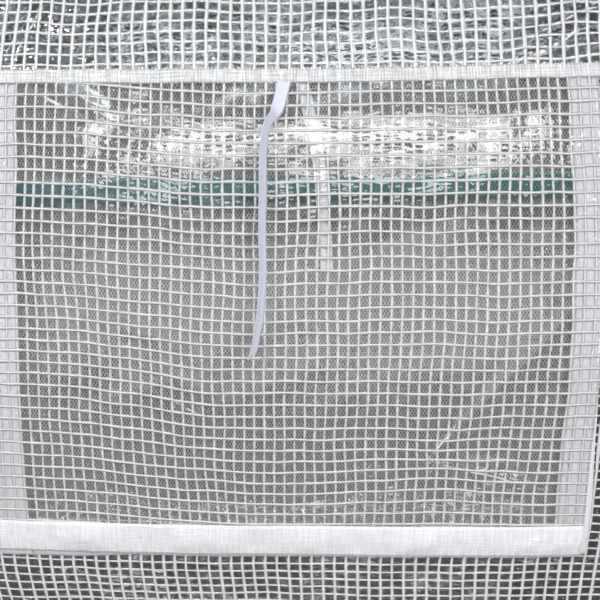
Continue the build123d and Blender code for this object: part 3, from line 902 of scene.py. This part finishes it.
def bindingPlace(across, along, outward):
    gather = bindingCut["gather"] * waves(across, along, bindingCut["seed"], *bindingCut["gatherWaves"])
    creep = bindingCut["creep"] * waves(across, along * 0, bindingCut["seed"] + 1, *bindingCut["creepWaves"])
    return hang(across, along + creep, outward + gather)


def bindingObject():
    # a long soft strip with rounded edges and a slightly hollow face
    depth = layer["bindingFace"] - layer["binding"]
    corner, hollow, reach = bindingCut["round"], bindingCut["hollow"], bindingCut["hollowReach"]
    foot, middle = openHead, (openHead + bindingTop) / 2
    turns = np.linspace(0, math.pi / 2, 4)
    section = [(foot + corner - corner * math.cos(turn), depth - corner + corner * math.sin(turn))
               for turn in turns]
    shoulder = depth - bindingCut["hollowEdge"]
    section += [(middle - reach, shoulder), (middle, depth - hollow), (middle + reach, shoulder)]
    section += [(bindingTop - corner + corner * math.cos(turn), depth - corner + corner * math.sin(turn))
                for turn in turns[::-1]]
    section = np.array(section + [(bindingTop, hollow), (middle, 0.0), (foot, hollow)])
    columns = gridLines([cover["left"], cover["right"]], bindingCut["cell"])
    x = np.repeat(columns, len(section))
    s, out, around = (np.tile(values, len(columns))
                      for values in (section[:, 0], section[:, 1], distances(section)))
    return loftObject("flapBinding", bindingPlace(x, s, layer["binding"] + out), len(section), bindingCloth,
                      np.stack([x, around], axis=-1))


flapBinding = bindingObject()

sewing = {"Pitch": 0.0031, "Length": 0.0025, "Thread": 0.00055}
seam = {"inset": 0.0030, "step": 0.006, "end": 0.002, "proud": 0.0004, "sunk": 0.0001}


def seamRun(start, end):
    return gridLines([start + seam["end"], end - seam["end"]], seam["step"])


def stitchRows(name, rows, place):
    lines = []
    for row in rows:
        across, along = np.broadcast_arrays(*(np.asarray(values, float) for values in row))
        lines.append((across, along, np.zeros(len(across))))
    return grownObject(name, lines, place, stitches, sewing, sewingThread)


bindingRun, upRun = seamRun(cover["left"], cover["right"]), seamRun(flapFoot, openHead)
acrossRun = seamRun(flapLeft, flapRight)
bindingStitches = stitchRows(
    "bindingStitches", [(bindingRun, openHead + seam["inset"]), (bindingRun, bindingTop - seam["inset"])],
    lambda x, s, out: bindingPlace(x, s, layer["bindingFace"] + out - seam["sunk"]))
tapeStitches = stitchRows(
    "tapeStitches", [(edge, upRun) for edge in (flapLeft + seam["inset"], openLeft - seam["inset"],
                                                openRight + seam["inset"], flapRight - seam["inset"])],
    lambda x, s, out: flapPlace(x, s, out + seam["proud"]))
footStitches = stitchRows(
    "footTapeStitches", [(acrossRun, edge) for edge in (flapFoot + seam["inset"], openFoot - seam["inset"])],
    lambda x, s, out: footTapePlace(x, s, out + seam["proud"]))
print("binding and stitching made")

# Routes across from the middle and along from the binding's foot, as in the part's source, moved to where
# they hang.
frontRoute = [(-0.0030, 0.0020), (-0.0060, -0.0090), (-0.0098, -0.0235), (-0.0192, -0.0335),
              (-0.0222, -0.0520), (-0.0236, -0.0900), (-0.0246, -0.1250), (-0.0238, -0.1600),
              (-0.0262, -0.1900), (-0.0290, -0.2100), (-0.0333, -0.2290)]
backRoute = [(0.0112, 0.0040), (0.0148, -0.0120), (0.0192, -0.0330), (0.0228, -0.0520),
             (0.0255, -0.0700), (0.0275, -0.1000), (0.0296, -0.1300), (0.0303, -0.1570)]
tieCut = {"width": 0.0110, "thickness": 0.0005, "step": 0.0015, "across": 6, "sewnUnder": 0.0014,
          "sewnFrom": 0.005, "backShare": 0.4, "turn": 60, "turnPart": (0.085, 0.145), "standOff": 0.0044,
          "standPart": (0.07, 0.16), "slant": 0.7, "curl": 0.04, "curlMore": 0.06, "curlPart": (0.2, 0.5),
          "backCurl": 0.01}


def routeLine(name, route, place):
    # the tie's centre line, read from a smooth spline over its route
    points = place(np.array([wall["middle"] + across for across, _ in route]),
                   np.array([openHead + along for _, along in route]))
    curve = bpy.data.curves.new(name, "CURVE")
    curve.dimensions = "3D"
    spline = curve.splines.new("NURBS")
    spline.points.add(len(points) - 1)
    for point, where in zip(spline.points, points):
        point.co = (*where, 1.0)
    spline.order_u, spline.use_endpoint_u, spline.resolution_u = 3, True, 24
    obj = bpy.data.objects.new(name, curve)
    scene.collection.objects.link(obj)
    mesh = bpy.data.meshes.new_from_object(obj.evaluated_get(bpy.context.evaluated_depsgraph_get()))
    line = np.array([vertex.co[:] for vertex in mesh.vertices])
    bpy.data.objects.remove(obj)
    bpy.data.meshes.remove(mesh)
    lengths = distances(line)
    even = np.linspace(0, lengths[-1], round(lengths[-1] / tieCut["step"]) + 1)
    return np.stack([np.interp(even, lengths, line[:, axis]) for axis in range(3)], axis=1), lengths[-1]


def ribbonObject(name, line, turns, curl, slant, material):
    # A flat ribbon along a line, turned about it by an angle at each point, with curled edges.
    tangent = np.gradient(line, axis=0)
    tangent /= np.linalg.norm(tangent, axis=1, keepdims=True)
    lean = np.arctan2(line[:, 2] - wall["springing"], wall["archRadius"] - line[:, 1])
    outward = np.stack([np.zeros(len(line)), -np.cos(lean), np.sin(lean)], axis=1)
    sideways = np.cross(tangent, outward)
    sideways /= np.linalg.norm(sideways, axis=1, keepdims=True)
    facing = np.cross(sideways, tangent)
    wide = sideways * np.cos(turns)[:, None] + facing * np.sin(turns)[:, None]
    thick = facing * np.cos(turns)[:, None] - sideways * np.sin(turns)[:, None]
    offsets = np.linspace(-0.5, 0.5, tieCut["across"] + 1)
    length = distances(line)
    end = ease(length, length[-1] - tieCut["width"], length[-1])
    rows, flat = [], []
    for face in (1, -1):
        for offset in offsets[::face]:
            lift = curl * (4 * offset * offset - 1 / 3) * tieCut["width"]
            at = line + wide * offset * tieCut["width"] + thick * (face * tieCut["thickness"] / 2
                                                                   + lift[:, None])
            rows.append(at + tangent * (end * slant * offset * tieCut["width"])[:, None])
            flat.append(np.stack([np.full(len(line), offset * tieCut["width"]), length], axis=1))
    return loftObject(name, np.stack(rows, axis=1).reshape(-1, 3), len(rows), material,
                      np.stack(flat, axis=1).reshape(-1, 2))


def inFront(across, along):
    # its head is sewn in under the binding's lower edge
    under = tieCut["sewnUnder"] * ease(along, openHead - tieCut["sewnFrom"], openHead)
    return hang(across, along, layer["frontTie"] - under + flapStandOff(across, along))


def behindFlap(across, along):
    return hang(across, along, layer["backTie"] + tieCut["backShare"] * flapStandOff(across, along))


# Below its head the front tie turns its edge outward and stands off the flap.
frontLine, frontLength = routeLine("frontTieRoute", frontRoute, inFront)
backLine, backLength = routeLine("backTieRoute", backRoute, behindFlap)
frontDown = np.linspace(0, 1, len(frontLine))
untwisted = np.zeros(len(backLine))
frontTurn = math.radians(tieCut["turn"]) * ease(frontDown, *tieCut["turnPart"])
frontLine[:, 1] -= tieCut["standOff"] * ease(frontDown, *tieCut["standPart"])
frontCurl = tieCut["curl"] + tieCut["curlMore"] * ease(frontDown, *tieCut["curlPart"])
frontTie = ribbonObject("frontTie", frontLine, frontTurn, frontCurl, tieCut["slant"], shadedFrontTieCloth)
backTie = ribbonObject("backTie", backLine, untwisted, untwisted + tieCut["backCurl"], 0.0, backTieCloth)
print("ties made, {:.3f} and {:.3f} m long".format(frontLength, backLength))

screw = {"acrossFlats": 0.010, "headHeight": 0.0048, "washer": 0.0075, "washerThickness": 0.0012,
         "shank": 0.0030, "reach": 0.0115, "seat": -0.0152, "dome": 0.0008, "crown": 0.82, "bearing": 0.55,
         "sides": 24, "point": 1e-5, "hoops": (0.0, 1.0), "rails": (0.040, 1.227, 1.6354)}
screwPlaces = [(x, along) for x in screw["hoops"] for along in screw["rails"]]


def screwObject():
    # hex-head screws from the inside, through each purlin end into the hoop
    points, faces = [], []
    sides, flats = screw["sides"], screw["acrossFlats"]
    headFrom = screw["seat"] - screw["washerThickness"]
    headTo = headFrom - screw["headHeight"]
    turns = [2 * math.pi * number / sides for number in range(sides)]
    hexagon = [flats / 2 / math.cos((turn + math.pi / 6) % (math.pi / 3) - math.pi / 6) for turn in turns]
    profile = [(out, [radius] * sides) for out, radius in (
        (screw["reach"], screw["point"]), (screw["reach"], screw["shank"]), (screw["seat"], screw["shank"]),
        (screw["seat"], screw["washer"]), (headFrom, screw["washer"]), (headFrom, flats * screw["bearing"]))]
    profile += [(headFrom, hexagon), (headTo + screw["dome"], hexagon),
                (headTo, [radius * screw["crown"] for radius in hexagon]), (headTo, [screw["point"]] * sides)]
    level = np.array([1.0, 0.0, 0.0])
    for x, along in screwPlaces:
        centre = onWall(x, along, 0.0)
        axis = onWall(x, along, 1.0) - centre
        up = np.array([0.0, axis[2], -axis[1]])
        first = len(points)
        for out, radii in profile:
            for turn, radius in zip(turns, radii):
                points.append(centre + axis * out + (level * math.cos(turn) + up * math.sin(turn)) * radius)
        faces += ringFaces(range(first, len(points), sides), sides)
    obj = meshObject("purlinScrews", np.array(points), faces, zincSteel)
    obj.data.shade_flat()
    return obj


purlinScrews = screwObject()

for name, node in nodes.items():
    painted = name.endswith("_tube") or name in ("base_rail", "window_purlin", "shoulder_purlin")
    if painted or name.endswith("_plug"):
        node.data.materials.clear()
        node.data.materials.append(paintedTube if painted else plugPlastic)

slots = {
    "reinforced_film": [coverSheet, coverUprights, coverLevels, flapSheet, flapUprightThreads,
                        flapLevelThreads],
    "insect_netting": [insectNet],
    "binding_tape": [flapBinding, bindingStitches],
    "woven_tape": [tapeStitches, footStitches, frontTie, backTie] + [tape for tape, *_ in tapes],
    "powder_coated_tube": [purlinScrews],
}
for slot, pieces in slots.items():
    for piece in pieces:
        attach(piece, "root")

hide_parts("left_wall_film", "right_wall_film", "lower_wall_film", "roof_film")
for piece, node in ((flapSheet, "flap_film"), (insectNet, "insect_net"), (flapBinding, "flap_binding"),
                    (frontTie, "front_tie"), (backTie, "back_tie")):
    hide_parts(node)
for tape, node, spanAcross, spanAlong in tapes:
    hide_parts(node)
    "flapFilm" if "flap" in node else "coverFilm"
for tie, line, length in ((frontTie, frontLine, frontLength), (backTie, backLine, backLength)):
    tuple(float(value) for value in line[0])

# The stage is pale wherever it is seen, apart from the part straight behind the window.
stage = {"centre": 0.5, "inner": (0.4, 2.0), "floorRadius": 9.0, "riseRadius": 13.0, "height": 6.5,
         "riseRings": 12, "sides": 96, "colour": (0.46, 0.44, 0.41), "darker": 0.97,
         "pale": (0.92, 0.90, 0.87), "glow": 0.42, "mirrored": 0.10, "dimFrom": -0.3, "dimTo": 0.95,
         "dimWidening": 0.42, "dimHalfWidth": 0.27, "edgeFrom": 0.05, "edgeTo": 1.6}


def stageMaterial():
    material, tree = newMaterial("paleStage")
    where = put(tree, "ShaderNodeTexCoord").outputs["Object"]
    shade = tuple(value * stage["darker"] for value in stage["colour"])
    place = axes(tree, where)
    front = mapped(tree, place["Y"], stage["dimTo"], stage["dimFrom"])
    aside = maths(tree, "ABSOLUTE", minus(tree, place["X"], stage["centre"]))
    past = minus(tree, aside, timesPlus(tree, place["Y"], stage["dimWidening"], stage["dimHalfWidth"]))
    beside = mapped(tree, past, stage["edgeFrom"], stage["edgeTo"])
    rays = put(tree, "ShaderNodeLightPath").outputs
    seen = plus(tree, rays["Is Camera Ray"], rays["Is Transmission Ray"], clamp=True)
    seen = timesPlus(tree, rays["Is Glossy Ray"], stage["mirrored"], seen)
    pale = maths(tree, "MAXIMUM", front, beside)
    body = put(tree, "ShaderNodeBsdfPrincipled", Roughness=0.85, Emission_Color=(*stage["pale"], 1),
               Base_Color=twoTone(tree, noise(tree, where, 1.3, 3.0), shade, stage["colour"]),
               Emission_Strength=times(tree, pale, seen, stage["glow"]))
    return shown(material, body)


def stageObject():
    # a round floor that curves up into the backdrop on every side
    sides, middle = stage["sides"], stage["centre"]
    profile = [(radius, 0.0) for radius in (*stage["inner"], stage["floorRadius"])]
    span, height = stage["riseRadius"] - stage["floorRadius"], stage["height"]
    for turn in np.linspace(0, math.pi / 2, stage["riseRings"] + 1)[1:]:
        profile.append((stage["floorRadius"] + span * math.sin(turn), height * (1 - math.cos(turn))))
    points = [(middle, 0.0, 0.0)]
    for radius, level in profile:
        for number in range(sides):
            turn = 2 * math.pi * number / sides
            points.append((middle + radius * math.cos(turn), radius * math.sin(turn), level))
    faces = [(0, 1 + number, 1 + (number + 1) % sides) for number in range(sides)]
    faces += ringFaces(range(1, len(points), sides), sides)
    return meshObject("paleStage", points, faces, stageMaterial())


floor = stageObject()

lamps = {
    # name: aims at, azimuth, elevation, distance, width, height, watts
    "keyLamp": ((0.5, -0.05, 1.15), -58, 38, 2.6, 0.40, 0.40, 41),
    "softBox": ((0.48, -0.10, 1.25), 0, 34, 2.2, 1.5, 0.34, 12),
    "upperBox": ((0.48, -0.10, 1.35), 4, 49, 2.6, 1.9, 0.26, 9),
    "skyFill": ((0.48, -0.10, 1.35), -2, 52.5, 2.7, 2.9, 0.80, 12),
    "groundStrip": ((0.48, -0.05, 0.95), -4, -41, 1.2, 1.1, 0.05, 1.4),
    "frontFill": ((0.5, -0.05, 1.0), -3, 6, 3.4, 3.0, 1.5, 14),
    "sideFill": ((0.5, -0.05, 1.0), 48, 8, 3.4, 1.6, 1.6, 65),
    "rearKey": ((0.5, 0.2, 0.9), 138, 32, 3.2, 1.4, 1.4, 46),
    "rearFill": ((0.5, 0.2, 0.9), 224, 32, 3.3, 2.0, 1.6, 44),
}

sky = {"colour": (0.95, 0.97, 1.0, 1), "light": 0.05, "seen": 0.25, "lamp": (0.76, 0.88, 1.0)}

# Only the soft box lights the stage too, and throws the shadow. The others leave the stage alone.
unlit = bpy.data.collections.new("unlit")
unlit.objects.link(floor)
unlit.collection_objects[0].light_linking.link_state = "EXCLUDE"

for name, (target, azimuth, elevation, distance, width, height, watts) in lamps.items():
    lamp = bpy.data.lights.new(name, "AREA")
    lamp.shape, lamp.size, lamp.size_y, lamp.energy = "RECTANGLE", width, height, watts
    lamp.color = sky["lamp"] if name == "skyFill" else (1.0, 1.0, 1.0)
    turn, climb = math.radians(azimuth), math.radians(elevation)
    away = Vector((math.sin(turn) * math.cos(climb), -math.cos(turn) * math.cos(climb), math.sin(climb)))
    place = Vector(target) + distance * away
    obj = bpy.data.objects.new(name, lamp)
    scene.collection.objects.link(obj)
    aimed = (Vector(target) - place).to_track_quat("-Z", "Y").to_matrix().to_4x4()
    obj.matrix_world = Matrix.Translation(place) @ aimed
    if name != "softBox":
        obj.light_linking.receiver_collection = unlit

world = bpy.data.worlds.new("studio")
scene.world = world
world.use_nodes = True
skyNode = world.node_tree.nodes["Background"]
skyRays = put(world.node_tree, "ShaderNodeLightPath").outputs
feed(skyNode.inputs["Color"], sky["colour"])
feed(skyNode.inputs["Strength"],
     timesPlus(world.node_tree, skyRays["Is Camera Ray"], sky["seen"], sky["light"]))

shot = {"place": (0.5438, -0.650, 1.3876), "yaw": 2.71, "pitch": 21.2, "roll": -1.62, "lens": 49.46,
        "sensor": 36.0, "clip": (0.01, 100.0)}


def cameraObject():
    data = bpy.data.cameras.new("camera")
    data.lens, data.sensor_width = shot["lens"], shot["sensor"]
    data.clip_start, data.clip_end = shot["clip"]
    yaw, pitch, roll = (math.radians(shot[key]) for key in ("yaw", "pitch", "roll"))
    ahead = Vector((-math.sin(yaw) * math.cos(pitch), math.cos(yaw) * math.cos(pitch), -math.sin(pitch)))
    level = Vector((math.cos(yaw), math.sin(yaw), 0.0))
    above = level.cross(ahead)
    right = level * math.cos(roll) + above * math.sin(roll)
    up = above * math.cos(roll) - level * math.sin(roll)
    turned = Matrix((right, up, -ahead)).transposed().to_4x4()
    obj = bpy.data.objects.new("camera", data)
    scene.collection.objects.link(obj)
    obj.matrix_world = Matrix.Translation(Vector(shot["place"])) @ turned
    scene.camera = obj


cameraObject()
print("stage, lamps and camera made")

faceCount = sum(len(obj.data.polygons) for obj in scene.objects if obj.type == "MESH")
print("faces in all", faceCount)
